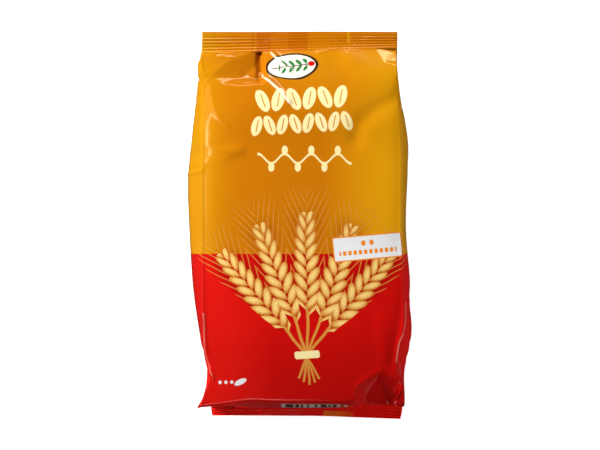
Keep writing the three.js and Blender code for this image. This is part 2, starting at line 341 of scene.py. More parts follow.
def dent(corners, facets, x, y):
    """Depth of a dent: in each facet it is the mean of the depths of its three corners, weighed by
    the barycentric shares of the place in the facet, and outside all facets it is 0."""
    corners = np.array(corners) * MM
    depth = np.zeros_like(x)
    for a, b, c in corners[np.array(facets)]:
        whole = (b[0] - a[0]) * (c[1] - a[1]) - (c[0] - a[0]) * (b[1] - a[1])
        share_b = ((x - a[0]) * (c[1] - a[1]) - (c[0] - a[0]) * (y - a[1])) / whole
        share_c = ((b[0] - a[0]) * (y - a[1]) - (x - a[0]) * (b[1] - a[1])) / whole
        inside = (share_b >= 0) & (share_c >= 0) & (share_b + share_c <= 1)
        sunk = a[2] + (b[2] - a[2]) * share_b + (c[2] - a[2]) * share_c
        depth = np.where(inside, sunk, depth)
    return depth


def all_dents(x, y):
    """The depth of all dents together, as the mean of four places close by, so that the creases
    are as round as film makes them."""
    near = [(a * SOFTENING, b * SOFTENING) for a, b in ((1, 0), (-1, 0), (0, 1), (0, -1))]
    return sum(dent(*one, x + a, y + b) for one in DENTS.values() for a, b in near) / len(near)


print(len(DENTS), "dents with", sum(len(facets) for _, facets in DENTS.values()), "facets")

# %% Folds and crests
# a fold or a crest: its points as x and y, its height and its width, in millimetres
SOFT_FOLDS = {
    "ridge on the left": (((-76, 46), (-42, 53)), 1.0, 4),
    "groove on the right": (((70, 90), (58, 85), (48, 79), (40, 71), (37, 60)), -1.3, 6),
    "shoulder on the right": (((37, 112), (64, 103)), 1.2, 9),
    "rise over the upper packets": (((-30, 88), (30, 84)), 1.0, 15),
    "hollow between the packets": (((-60, -14), (60, -10)), -1.0, 17),
    "upright fold on the right": (((54.5, -61), (57, -93)), 0.35, 4),
    "hollow under the seal": (((24, 112), (31, 106)), -0.9, 7),
    "hollow beside the fold": (((48, -61), (50, -88)), -0.25, 4),
    "hollow inside the right edge": (
        ((74, -33), (71, -45), (67.5, -62), (64.5, -78), (62, -92)), -1.1, 4.5,
    ),
}
CRESTS = {
    "crest from the seal": (((-20.4, 121), (-8.3, 108)), 1.3, 1.9),
    "crest over the shoulder": (
        ((-26.7, 105.2), (-23.3, 101.8), (-13.7, 92.8), (-8.2, 85.9)), 1.5, 2.1,
    ),
    "edge of the slanted strip": (
        ((-63.9, 101.4), (-61.8, 95.9), (-60.5, 87.6), (-59.1, 80.8), (-56.3, 75.3), (-50.2, 69.1)),
        0.35, 1.7,
    ),
    "left lower edge": (((-66.6, -58), (-65.8, -72.4), (-64, -90.7), (-60.2, -101)), 1, 1.5),
    "pucker under the seal": (((-62, 121), (-56, 122.5), (-48, 121)), 0.4, 1.3),
    "second pucker": (((-57, 118.5), (-48, 118)), 0.4, 1.2),
    "third pucker": (((12.5, 121), (17, 122.5)), 0.6, 1.3),
    "rim of the crushed corner": (
        ((38.8, -106.8), (53.8, -97.3), (55, -104), (68, -116.7)), 0.8, 1.6,
    ),
    "right lower edge": (((73.5, -50), (71, -64), (67, -77.6), (64.6, -92)), 0.9, 1.5),
    "nick in the left edge": (((-78, 37), (-67, 39)), 0.7, 1.2),
}


def fold(line, height, width, x, y):
    """Height of a fold: height times exp(-(distance to its nearest stretch / width)^2)."""
    points = np.array(line) * MM
    nearest = np.full(x.shape, np.inf)
    for start, run in zip(points[:-1], np.diff(points, axis=0)):
        t = np.clip(((x - start[0]) * run[0] + (y - start[1]) * run[1]) / (run @ run), 0, 1)
        nearest = np.minimum(nearest, np.hypot(x - start[0] - t * run[0], y - start[1] - t * run[1]))
    return height * MM * np.exp(-((nearest / (width * MM)) ** 2))


def all_folds(folds, x, y):
    """The height of all folds of a table together."""
    return sum(fold(*one, x, y) for one in folds.values())


print(len(SOFT_FOLDS), "soft folds and", len(CRESTS), "crests")

# %% [markdown]
# ## The film and its grid
# The film is a grid: its rows run around the bag and its columns along it. The columns start in the
# middle of the back, where the long seam is, and go over the left gusset, the front and the right
# gusset back to it. Film doesn't stretch, so the widths of the columns are the same in every row.

# %% Film sizes and columns
PANEL = 136.6 * MM
GUSSET = 70 * MM
AROUND = 2 * (PANEL + GUSSET)
FRONT_CELLS = 144
GUSSET_CELLS = 48
HALF_BACK_CELLS = 24
SEAM_CELLS = 8  # narrow cells beside the long seam
SEAM_CELL = 1 * MM
CROWDING = 0.8  # radians of sine over half a panel, so that cells are narrower at the creases


def crowded(width, cells):
    """The starts of cells that are narrower towards both ends of a width."""
    share = 2 * np.arange(cells) / cells - 1
    return width / 2 * (1 + np.sin(CROWDING * share) / np.sin(CROWDING))


seam_side = SEAM_CELLS * SEAM_CELL
wide_cells = HALF_BACK_CELLS - SEAM_CELLS
half_back = np.concatenate(
    [
        np.arange(SEAM_CELLS) * SEAM_CELL,
        seam_side + (PANEL / 2 - seam_side) * np.arange(wide_cells) / wide_cells,
    ]
)
back_to_middle = np.append(half_back, PANEL / 2)[:0:-1]
front_places, gusset_places = crowded(PANEL, FRONT_CELLS), crowded(GUSSET, GUSSET_CELLS)
film_u = np.concatenate(
    [
        half_back,
        PANEL / 2 + gusset_places,
        PANEL / 2 + GUSSET + front_places,
        PANEL * 1.5 + GUSSET + gusset_places,
        AROUND - back_to_middle,
        [AROUND],
    ]
)
film_u -= AROUND / 2  # the film's own width coordinate is 0 in the middle of the front
columns = len(film_u) - 1
print(f"{columns} columns, {AROUND * 1000:.1f} mm of film around the bag")

# %% [markdown]
# ## The bag as it was filled
# First each row is drawn as a closed line: the front with its crown, the gussets swollen or folded in
# as a V, and the back flat on the floor. The film is then laid along this line: its front takes its
# exact width, and the rest of it takes what is left, with a little slack.

# %% The front and the back
FRONT_CROWN, CROWN_POWER = 4 * MM, 2.6
EDGE_DROP, EDGE_POWER = 2 * MM, 12  # how the long edges turn down where they are filled round
BACK_LIFT, BACK_FLAT = 6 * MM, 46 * MM  # BACK_FLAT is half of the width that lies flat
SKEW_START = 0.2  # the share of the way across at which the fin's skew begins
WAVE_PLACE, WAVE_REACH = 36 * MM, 15 * MM  # the shallow wave of the bottom edge


def panel_place(share, edge, y):
    """x and y at a share of the way across: the ends swell outwards, the fin lies askew, the top
    seal's lower edge rises to the right, and the bottom edge has a shallow wave."""
    x = share * edge
    swollen = end_bulge[:, None] * (1 - share**2) + corner_reach[:, None] * share**2
    askew = fin_skew[:, None] * np.clip((share - SKEW_START) / (1 - SKEW_START), 0, 1)
    waved = edge_wave[:, None] * np.exp(-(((x + WAVE_PLACE) / WAVE_REACH) ** 2))
    return x, y - swollen - askew + root_skew[:, None] * x + waved


def side_line(left, right, y, share):
    """A line's distance from the middle, from the left table or the right one."""
    return np.where(share < 0, along(left, y)[:, None], along(right, y)[:, None])


def front_panel(share):
    """Height of the profile, less a crown and a rounding that are powers of the share, plus folds."""
    share = share[None, :]
    x, y = panel_place(share, side_line(LEFT_CREASE, RIGHT_CREASE, front_y, share), front_y[:, None])
    fall = FRONT_CROWN * filling[:, None] * np.abs(share) ** CROWN_POWER
    fall = fall + EDGE_DROP * rounding[:, None] * np.abs(share) ** EDGE_POWER
    folds = all_folds(SOFT_FOLDS, x, y) - all_dents(x, y)
    return np.stack([x, y, front_z[:, None] - fall + fold_share[:, None] * folds], -1)


def back_panel(share):
    """Flat on the floor in the middle, with its long edges curled up as a parabola."""
    share = share[None, :]
    edge = side_line(LEFT_HEEL, RIGHT_HEEL, back_y, share)
    x, y = panel_place(share, edge, back_y[:, None])
    curl = np.clip((np.abs(x) - BACK_FLAT) / (edge - BACK_FLAT), 0, 1) ** 2
    return np.stack([x, y, back_z[:, None] + BACK_LIFT * lifting[:, None] * curl], -1)


print(f"the front's crown is {FRONT_CROWN * 1000:.0f} mm high")

# %% The gussets
GUSSET_CREASE = 1.8 * MM  # how deep the old fold line still shows in a filled gusset
BELLY_POWER = 2.8
FLANK = 2.5  # how sharply the middle of an opening gusset is folded in between its filled sides


def gusset(side, belly, top, bottom, share, depth):
    """From the front's edge to the back's edge. It bulges to the belly line by 1 less a power of
    |2 s - 1|. Its middle is folded in to a depth, by a power of the distance from the two edges:
    1 in the seal, where the fold is a flat V, and more where the filled sides stay out."""
    share = share[None, :]
    top, bottom = top[:, None, :], bottom[:, None, :]
    y = top[..., 1] + (bottom[..., 1] - top[..., 1]) * share
    z = top[..., 2] + (bottom[..., 2] - top[..., 2]) * share
    edge = np.abs(top[..., 0]) + (np.abs(bottom[..., 0]) - np.abs(top[..., 0])) * share
    from_fold = np.abs(2 * share - 1)
    belly_out = (along(belly, y) - edge) * bulging[:, None] * (1 - from_fold**BELLY_POWER)
    folded_in = depth[:, None] * (1 - from_fold) ** (1 + FLANK * bulging[:, None])
    remembered = GUSSET_CREASE * (bulging * opened)[:, None] * np.clip(1 - 4 * from_fold, 0, 1)
    x = edge + belly_out - folded_in - remembered
    y = y - side * root_skew[:, None] * (edge - x)
    y = y + (side > 0) * fin_skew[:, None] * np.clip((1 - x / edge) / (1 - SKEW_START), 0, 1)
    return np.stack([side * x, y, z], -1)

# %% The four panels drawn
LINE_CELLS = 200

across = np.arange(LINE_CELLS + 1) / LINE_CELLS
lip = np.array([0, 0, SEAL_FILM / 4])
front_line = front_panel(2 * across - 1)
left_back, right_back = back_panel(-across), back_panel(1 - across)


def both_gussets(depth):
    """The left and the right gusset, folded in to a depth in each row."""
    left = gusset(-1, LEFT_BELLY, front_line[:, 0] - lip, left_back[:, -1] + lip, across, depth)
    right = gusset(1, RIGHT_BELLY, front_line[:, -1] - lip, right_back[:, 0] + lip, across, depth)
    return left, right


def line_length(*lines):
    """The length of each row over all the lines."""
    return sum(np.linalg.norm(np.diff(line, axis=1), axis=2).sum(axis=1) for line in lines)


panels_length = line_length(front_line, left_back, right_back)
print(f"front and back take up to {panels_length.max() * 1000:.0f} mm of film")

# %% How deep the gussets are folded
# The film sets the depth: each row is tried with several depths, and the one that uses up the film
# is read off between them. In the seals the two halves of the gusset lie flat on each other.
TRIAL_DEPTHS = 8
SLACK = 1.015

depths = np.linspace(0, GUSSET / 2, TRIAL_DEPTHS)
in_all_rows = np.ones(len(place))
lengths = np.array([panels_length + line_length(*both_gussets(d * in_all_rows)) for d in depths])
wanted = AROUND / SLACK
below = np.clip(np.count_nonzero(lengths < wanted, axis=0) - 1, 0, TRIAL_DEPTHS - 2)
row = np.arange(len(place))
short, long = lengths[below, row], lengths[below + 1, row]
fold_depth = depths[below] + depths[1] * np.clip((wanted - short) / (long - short), 0, 1)
fold_depth = np.where(in_seal, GUSSET / 2, fold_depth * (1 - opened))
left_gusset, right_gusset = both_gussets(fold_depth)
print("gussets folded in by", np.round(fold_depth[::24] * 1000), "mm")

# %% Film laid along the rows
WAVE_LENGTH, WAVE_START = 20 * MM, 0.6  # the seals' wave, as length for each radian and start


def length_along(line):
    """Length from the start of each row's line to each of its points."""
    step = np.linalg.norm(np.diff(line, axis=1), axis=2)
    return np.concatenate([np.zeros((len(line), 1)), np.cumsum(step, axis=1)], axis=1)


def lay(line, want):
    """Points at the wanted lengths along each row's line. All rows are put end to end on one long
    scale, so that a single search finds the stretch that each wanted length falls in."""
    length = length_along(line)
    count = line.shape[1]
    want = np.clip(want, 0, length[:, -1:])
    each = np.arange(len(line))[:, None]
    scale_start = each * (length.max() + 1)
    found = np.searchsorted((length + scale_start).ravel(), (want + scale_start).ravel(), "right")
    i = np.clip(found.reshape(want.shape) - 1 - each * count, 0, count - 2)
    t = (want - length[each, i]) / np.maximum(length[each, i + 1] - length[each, i], 1e-9)
    return line[each, i] * (1 - t[..., None]) + line[each, i + 1] * t[..., None]


def lay_panel(line, places, width):
    """A panel that keeps its own corners: its film is spread over the whole of its line."""
    return lay(line, (places / width)[None, :] * length_along(line)[:, -1:])


by_panel = np.concatenate(
    [
        lay_panel(left_back, half_back, PANEL / 2),
        lay_panel(left_gusset[:, ::-1], gusset_places, GUSSET),
        lay_panel(front_line, front_places, PANEL),
        lay_panel(right_gusset, gusset_places, GUSSET),
        lay_panel(right_back, PANEL / 2 - back_to_middle, PANEL / 2),
    ],
    axis=1,
)
whole_line = np.concatenate(
    [left_back, left_gusset[:, ::-1], front_line, right_gusset, right_back], axis=1
)
whole_length = length_along(whole_line)
middle = whole_length[:, [2 * (LINE_CELLS + 1) + LINE_CELLS // 2]]
middle = middle + (along(RIGHT_CREASE, front_y) - along(LEFT_CREASE, front_y))[:, None] / 2
u_there = film_u[None, :-1]
beside_front = np.sign(u_there) * np.maximum(np.abs(u_there) - PANEL / 2, 0)
slack = (AROUND - PANEL) / (whole_length[:, -1:] - PANEL)
want = middle + np.clip(u_there, -PANEL / 2, PANEL / 2) + beside_front / slack
around_row = lay(whole_line, np.mod(want, whole_length[:, -1:]))
filled = smooth(0, 0.4, 1 - tucked)[:, None, None]
base = by_panel * (1 - filled) + around_row * filled
base[..., 2] += seal_wave[:, None] * np.sin(base[..., 0] / WAVE_LENGTH + WAVE_START)
print(f"slack beside the front: {(slack.mean() - 1) * 100:.1f}% on average")

# %% [markdown]
# ## The film settles
# Real film keeps its lengths and bends softly. The grid is settled like a net: each pair of
# neighbours is moved to its true distance, along, around and across the cells. Points that are two
# cells apart are pushed to their straight distance, so that the film stays smooth. The creases
# between the panels don't resist bending. The slack beside the front becomes folds by itself.

# %% Settling
SHEAR = 0.4  # how much of a diagonal's error is put right in each round


def move_pairs(near, far, rest, give):
    """Moves the two points of each pair towards their rest distance, half the way each."""
    reach = far - near
    length = np.sqrt(np.einsum("...k,...k->...", reach, reach))
    move = reach * (0.5 * give * (1 - rest / np.maximum(length, 1e-9)))[..., None]
    near += move
    far -= move


def settle(points, rest, gap, give, ring=False):
    """Pairs that are `gap` apart on the first axis, in groups where no point is in two pairs."""
    for start in range(2 * gap):
        group = slice(start, -gap, 2 * gap)
        move_pairs(points[group], points[start + gap::2 * gap], rest[group], give[group])
    if ring:
        move_pairs(points[-gap:], points[:gap], rest[-gap:], give[-gap:])


def settle_diagonals(points, others, rest):
    """Pairs from one row to the shifted points of the next row."""
    for start in (0, 1):
        move_pairs(points[start:-1:2], others[start + 1::2], rest[start::2], SHEAR)


def settle_film(film, target, hold, fixed, along_steps, around_steps, stiff, rounds):
    """Rounds of hold, bending, shear and length, with the fixed points put back each time."""
    turned = film.swapaxes(0, 1)
    along_once = np.append(along_steps, 0)[:, None]
    along_twice = along_once + np.roll(along_once, -1)
    around_once = around_steps[:, None]
    around_twice = around_once + np.roll(around_once, -1)
    diagonal = np.hypot(along_steps[:, None], around_steps[None, :-1])
    all_rows, all_columns = np.ones_like(along_once), np.ones_like(around_once)
    for _ in range(rounds):
        film += hold[..., None] * (target - film)
        settle(film, along_twice, 2, all_rows * stiff.max())
        settle(turned, around_twice, 2, np.roll(stiff, -1)[:, None], ring=True)
        settle_diagonals(film[:, :-1], film[:, 1:], diagonal)
        settle_diagonals(film[:, 1:], film[:, :-1], diagonal)
        settle(film, along_once, 1, all_rows)
        settle(turned, around_once, 1, all_columns, ring=True)
        film[..., 2] = np.maximum(film[..., 2], 0)
        film[fixed] = target[fixed]
    return film


def finer(move):
    """A grid of moves at twice as many rows and columns, with the new ones halfway."""
    rows = np.repeat(move, 2, axis=0)[:-1]
    rows[1::2] = (move[:-1] + move[1:]) / 2
    both = np.repeat(rows, 2, axis=1)
    both[:, 1::2] = (rows + np.roll(rows, -1, axis=1)) / 2
    return both


print("a net of", base.shape[0] * base.shape[1], "points")

# %% What is held
# The packets inside hold the film near its drawn shape, each part of it with its own strength.
HELD_FRONT, HELD_FLANK, HELD_GUSSET, HELD_BACK = 4, 3, 0.8, 0.6
HELD_DENTS, HELD_EARS = 40, 30
EAR_PLACES, EAR_REACH = 0.12, 6 * MM  # the ears are the two corners of the bottom edge

away = np.abs(film_u[:-1])
beyond = away - PANEL / 2  # how far each column is past the front's long edge


def band(*edges):
    """A share of each column: 0, an S-curve up to 1, and another down to 0, beyond the edge."""
    start, full, ebb, end = np.array(edges) * MM
    return smooth(start, full, beyond) * (1 - smooth(ebb, end, beyond))


on_front = 1 - smooth(-12 * MM, 0, beyond)
on_flank, on_gusset = band(1, 10, 22, 34), band(12, 30, 40, 58)
on_back = smooth(GUSSET + 10 * MM, GUSSET + 30 * MM, beyond)
in_dents = smooth(0.1 * MM, 0.6 * MM, all_dents(base[..., 0], base[..., 1]) * fold_share[:, None])
in_dents = in_dents * (beyond < -1.5 * MM)
on_ears = peak(BOTTOM_EDGE, EAR_PLACES)[:, None] * np.clip(1 - np.abs(beyond) / EAR_REACH, 0, 1)
held = HELD_FRONT * on_front + HELD_FLANK * on_flank + HELD_BACK * on_back
held = held + HELD_GUSSET * on_gusset * (1 - tucked)[:, None]
held = held + HELD_DENTS * in_dents + HELD_EARS * on_ears
crease_lines = np.array([PANEL / 2, PANEL / 2 + GUSSET / 2, PANEL / 2 + GUSSET])
on_crease = (np.abs(away[:, None] - crease_lines) < 0.1 * MM).any(axis=1)
fixed = np.repeat(in_seal[:, None], columns, axis=1)
print(f"{fixed.mean() * 100:.0f}% of the net is fixed in the seals")

# %% The settled film
# The coarsest net has every eighth row and column. Each finer one starts from the moves of the one
# before it. The film of the seals is fixed, because the hot jaws pressed it there.
LEVELS = (  # every so many rows and columns, rounds, hold, stiffness
    (8, 300, 0.020, 0.30),
    (4, 250, 0.012, 0.25),
    (2, 160, 0.006, 0.20),
    (1, 90, 0.003, 0.12),
)
UNEVEN, UNEVEN_LATER = 0.4 * MM, 0.12 * MM
EVENER_FRONT = 0.9

draw = np.random.default_rng(7)

moves = None
for every, rounds, hold, stiffness in LEVELS:
    net = (slice(None, None, every), slice(None, None, every))
    target = base[net]
    uneven = draw.normal(0, UNEVEN if moves is None else UNEVEN_LATER, target.shape)
    uneven *= 1 - EVENER_FRONT * on_front[::every][None, :, None]
    moves = np.zeros_like(target) if moves is None else finer(moves)
    film = settle_film(
        np.where(fixed[net][..., None], target, target + moves + uneven),
        target,
        np.clip(held[net] * hold, 0, 1),
        fixed[net],
        np.diff(film_v[::every]),
        np.diff(film_u[::every]),
        stiffness * ~on_crease[::every],
        rounds,
    )
    moves = film - target
print(f"the film moved by up to {np.abs(moves).max() * 1000:.1f} mm")

# %% [markdown]
# ## Ribs, steps and crests
# The jaws leave ribs across both seals. Where a gusset or the long seam's flap lies between the
# layers, the seal is thicker, with a small step at its edge. Settling rounds what it moves, so the
# front goes back most of the way to its drawn shape, with the sharp creases of its dents. Then the
# narrow crests and the pinched long edges of the front are raised.

# %% Crests and pinched edges
KEPT_FRONT, KEPT_GUSSET = 0.9, 0.6  # how far they go back to their drawn shape
PINCH, PINCH_REACH = 0.4 * MM, 1.3 * MM
LOWEST_CREST = 30 * MM


def outward(grid):
    """Unit normals of the grid: the cross product of the differences around and along it."""
    around_it = np.roll(grid, -1, axis=1) - np.roll(grid, 1, axis=1)
    along_it = np.gradient(grid, axis=0)
    normal = np.cross(around_it, along_it)
    return normal / np.maximum(np.linalg.norm(normal, axis=2, keepdims=True), 1e-12)


kept = KEPT_FRONT * (1 - smooth(3 * MM, 16 * MM, beyond))
upper = 1 - smooth(28 * MM, 42 * MM, beyond)
near_seal = 1 - smooth(20 * MM, 60 * MM, nearer_seal)[:, None]
kept = np.maximum(kept, upper * (KEPT_GUSSET + (1 - KEPT_GUSSET) * near_seal))
film += (base - film) * kept[..., None]
normal = outward(film)
x, y, z = film[..., 0], film[..., 1], film[..., 2]
raised = all_folds(CRESTS, x, y) * (z > LOWEST_CREST) * fold_share[:, None]
pinched = np.clip(1 - np.abs(beyond) / PINCH_REACH, 0, 1) * fold_share[:, None]
film += normal * (raised + PINCH * pinched)[..., None]
print(f"the crests stand up to {raised.max() * 1000:.1f} mm high")

# %% Ribs and steps
RIB_PITCH, RIB_HEIGHT, RIBS_LENGTH = 2.05 * MM, 0.36 * MM, 10 * MM
FLATTER_RIBS, FLATTER_AT, FLATTER_WIDTH = 0.6, 8 * MM, 36 * MM
LAYER, LAYER_FADE = 0.17 * MM, 7 * MM  # the thickness of the film, and where its step ends
SEAM_LEFT, SEAM_FOLD, SEAM_RIGHT = -20 * MM, -8.3 * MM, 5.5 * MM
SEAM_STEP, SEAM_FADE = 0.4 * MM, 6 * MM

top_v, bottom_v = np.interp((TOP_ROOT, BOTTOM_ROOT), place, film_v)
into_seal = np.maximum(film_v - top_v, bottom_v - film_v)
ribbed = smooth(-0.2 * MM, 0.3 * MM, into_seal)
ribbed = ribbed * (1 - smooth(RIBS_LENGTH - 0.4 * MM, RIBS_LENGTH + 0.4 * MM, into_seal))
ribbed = np.where(in_seal, ribbed, 0)
uneven_ribs = 1 - FLATTER_RIBS * np.exp(-(((x - FLATTER_AT) / FLATTER_WIDTH) ** 2))
ribs = (ribbed * np.sin(2 * np.pi * into_seal / RIB_PITCH))[:, None]
film[..., 2] += RIB_HEIGHT * ribs * uneven_ribs

layers = 2.0 * (np.abs(x) < PANEL / 2 - GUSSET / 2)
layers = layers - ((x > SEAM_FOLD) & (x < SEAM_RIGHT)) - 0.5 * ((x > SEAM_LEFT) & (x < SEAM_FOLD))
step_share = np.where(in_seal, 1, 1 - smooth(0, LAYER_FADE, nearer_seal))[:, None]
film[..., 2] -= LAYER * layers * step_share * (beyond < 0)

from_seam = np.abs(AROUND / 2 - away) * np.sign(film_u[:-1])
beyond_flap = np.maximum(from_seam - SEAM_RIGHT, SEAM_FOLD - from_seam)
flap = SEAM_STEP * np.where(beyond_flap > 0, np.exp(-beyond_flap / SEAM_FADE), 0)
flap = flap * (away > PANEL / 2 + GUSSET)
film -= normal * (flap * ~in_seal[:, None])[..., None]
print(f"{RIBS_LENGTH / RIB_PITCH:.1f} ribs in each seal")

# %% [markdown]
# ## The mesh
# The cells become quads. Each end of the tube is closed by narrow strips of triangles: two beside
# each folded gusset, and one between the two folds. The mesh is then moved over the CAD solid.

# %% Closed ends
def strip(first, second, flip):
    """Triangles between two chains of points: one for each cell of either chain, to the point of
    the other chain that is as far along it."""
    first_cells, second_cells = len(first) - 1, len(second) - 1
    partner = np.rint((np.arange(first_cells) + 0.5) / first_cells * second_cells).astype(int)
    back = np.searchsorted(partner, np.arange(second_cells), "right")
    triangles = np.concatenate(
        [
            np.stack([first[:-1], first[1:], second[partner]], -1),
            np.stack([second[1:], second[:-1], first[back]], -1),
        ]
    )
    return triangles[:, ::-1] if flip else triangles


def cap(ring, flip):
    """Closes a seal's end, whose points are a ring from the middle of the back round to it."""
    fold_at, crease_at = HALF_BACK_CELLS + GUSSET_CELLS // 2, HALF_BACK_CELLS + GUSSET_CELLS
    heel_at = HALF_BACK_CELLS
    inner_front = np.searchsorted(front_places, GUSSET / 2)
    inner_back = np.searchsorted(half_back, PANEL / 2 - GUSSET / 2)
    other = ring[(-np.arange(columns)) % columns]  # the same ring the other way round
    strips = []
    for side, chain in ((flip, ring), (not flip, other)):
        front_part = chain[crease_at:crease_at + inner_front + 1]
        upper = chain[crease_at:fold_at - 1:-1]
        lower = chain[heel_at:fold_at + 1]
        back_part = chain[heel_at:inner_back - 1:-1]
        strips += [strip(front_part, upper, side), strip(lower, back_part, side)]
    over = ring[crease_at + inner_front:columns - crease_at - inner_front + 1]
    under = np.concatenate(
        [[ring[fold_at]], ring[inner_back::-1], other[1:inner_back + 1], [other[fold_at]]]
    )
    return np.concatenate([*strips, strip(over, under, flip)])


rows = len(film)
index = np.arange(rows * columns).reshape(rows, columns)
caps = np.concatenate([cap(index[0], False), cap(index[-1], True)])
print(len(caps), "triangles close the two ends")

# %% The film as a mesh
SIDE_STEP = 0.75 * MM  # how far to the right the film is moved

beside = np.roll(index, -1, axis=1)
quads = np.stack([index[:-1], beside[:-1], beside[1:], index[1:]], -1).reshape(-1, 4)
points = film.reshape(-1, 3)
shift = (bag_low + bag_high) / 2 - (points.min(0) + points.max(0)) / 2
shift[0] = SIDE_STEP
shift[2] = bag_low[2] - points[:, 2].min()
points = points + shift
mesh = bpy.data.meshes.new("film_bag_surface")
mesh.from_pydata(points, [], [*quads.tolist(), *caps.tolist()])
mesh.polygons.foreach_set("use_smooth", np.ones(len(mesh.polygons), bool))
print("size in mm:", np.round((points.max(0) - points.min(0)) * 1000, 1))
print("triangles:", 2 * len(quads) + len(caps))

# %% The film's own map
# Each corner of a cell knows its place on the unrolled film. The places are scaled into 0 to 1.
UV_WIDTH, UV_LENGTH = 0.42, 0.36
corner_u = np.stack([film_u[:-1], film_u[1:], film_u[1:], film_u[:-1]], -1)
corner_v = np.stack([film_v[:-1], film_v[:-1], film_v[1:], film_v[1:]], -1)
quad_u = np.broadcast_to(corner_u, (rows - 1, columns, 4)).ravel()
quad_v = np.repeat(corner_v[:, None], columns, axis=1).ravel()
cap_u, cap_v = film_u[caps % columns].ravel(), film_v[caps // columns].ravel()
film_map = np.stack(
    [
        np.concatenate([quad_u, cap_u]) / UV_WIDTH + 0.5,
        np.concatenate([quad_v, cap_v]) / UV_LENGTH + 0.5,
    ],
    -1,
)
mesh.uv_layers.new(name="film").data.foreach_set("uv", film_map.ravel())
bag = bpy.data.objects.new("printed_bag", mesh)
bpy.context.scene.collection.objects.link(bag)
print("the map covers", np.round(film_map.min(0), 2), "to", np.round(film_map.max(0), 2))

# %% [markdown]
# ## Drawing with numbers
# The print could be a picture laid on the film, but a picture has a fixed fineness. Here the
# material works it out from two numbers: how far a point is across the film and how far along it,
# both in millimetres. A small class lets formulas be written with the usual signs, and each sign
# makes one Math node.

# %% Fields
film_material = bpy.data.materials.new("printed_film")
film_material.use_nodes = True
nodes, links = film_material.node_tree.nodes, film_material.node_tree.links


def join(value, socket):
    """Links a field's output to a socket, or sets the socket to a plain value."""
    if isinstance(value, Field):
        links.new(value.output, socket)
    else:
        socket.default_value = value


def calculate(operation, *values, clamp=False):
    """One Math node, as the field that comes out of it."""
    node = nodes.new("ShaderNodeMath")
    node.operation = operation
    node.use_clamp = clamp
    for value, socket in zip(values, node.inputs):
        join(value, socket)
    return Field(node.outputs[0])


def sign_for(operation):
    """A method that puts a field, and what follows its sign, through one Math node."""
    return lambda *values: calculate(operation, *values)


class Field:
    """A number at each point of the film."""

    def __init__(self, output):
        self.output = output

    def __rsub__(self, other):
        return calculate("SUBTRACT", other, self)

    __add__, __sub__ = sign_for("ADD"), sign_for("SUBTRACT")
    __mul__, __truediv__ = sign_for("MULTIPLY"), sign_for("DIVIDE")
    __lt__, __gt__ = sign_for("LESS_THAN"), sign_for("GREATER_THAN")
    __abs__, __mod__ = sign_for("ABSOLUTE"), sign_for("FLOORED_MODULO")
    floor = sign_for("FLOOR")


map_node = nodes.new("ShaderNodeUVMap")
map_node.uv_map = "film"
split = nodes.new("ShaderNodeSeparateXYZ")
links.new(map_node.outputs[0], split.inputs[0])
u = (Field(split.outputs[0]) - 0.5) * (UV_WIDTH / MM)
v = (Field(split.outputs[1]) - 0.5) * (UV_LENGTH / MM)
print("the film's own millimetres are ready")

# %% [markdown]
# ## Shapes and ink
# A shape is a distance that is negative inside it. Its ink is 1 where the distance is below 0 and 0
# above, with a soft edge, as ink has on film.

# %% Shapes
EDGE_SOFTNESS = 0.2


def smaller(a, b):
    """The smaller number at each point, which joins two shapes."""
    return calculate("MINIMUM", a, b)


def larger(a, b):
    """The larger number at each point, which keeps what two shapes share, or joins two inks."""
    return calculate("MAXIMUM", a, b)


def distance_from(x, y):
    """The root of x^2 + y^2."""
    return calculate("SQRT", x * x + y * y)


def ink(distance, soft=EDGE_SOFTNESS):
    """1 inside the shape and 0 outside, with an edge of twice the softness."""
    return calculate("MULTIPLY_ADD", distance, -0.5 / soft, 0.5, clamp=True)


def ramp(value, low, high):
    """0 at low and before it, 1 at high and after it, and straight between them."""
    return calculate("MULTIPLY_ADD", value, 1 / (high - low), -low / (high - low), clamp=True)


def oval(x, y, wide, high):
    """Distance from an oval: that of the unit circle in scaled places, times the shorter radius."""
    return (distance_from(x / wide, y / high) - 1) * min(wide, high)


def bar(x, y, half_wide, half_high, corner):
    """Distance from a rectangle with round corners."""
    over_x = larger(abs(x) - (half_wide - corner), 0)
    over_y = larger(abs(y) - (half_high - corner), 0)
    return distance_from(over_x, over_y) - corner


def turned(x, y, centre, degrees):
    """x and y as seen from a centre, in axes turned by an angle."""
    c, s = np.cos(np.radians(degrees)), np.sin(np.radians(degrees))
    x, y = x - centre[0], y - centre[1]
    return x * c + y * s, y * c - x * s


print("a shape's edge is", 2 * EDGE_SOFTNESS, "mm soft")

# %% Inks
def colour_at(red, green, blue):
    """A colour as the eye names it, 0 to 255, in the linear numbers that a material takes."""
    srgb = np.array([red, green, blue]) / 255
    linear = np.where(srgb <= 0.04045, srgb / 12.92, ((srgb + 0.055) / 1.055) ** 2.4)
    return (*linear.tolist(), 1)


def paint(under, colour, cover):
    """A colour, or a field of colour, laid over what is under it where the cover is 1."""
    node = nodes.new("ShaderNodeMix")
    node.data_type = "RGBA"
    join(cover, node.inputs[0])
    join(under, node.inputs[6])
    join(colour, node.inputs[7])
    return Field(node.outputs[2])


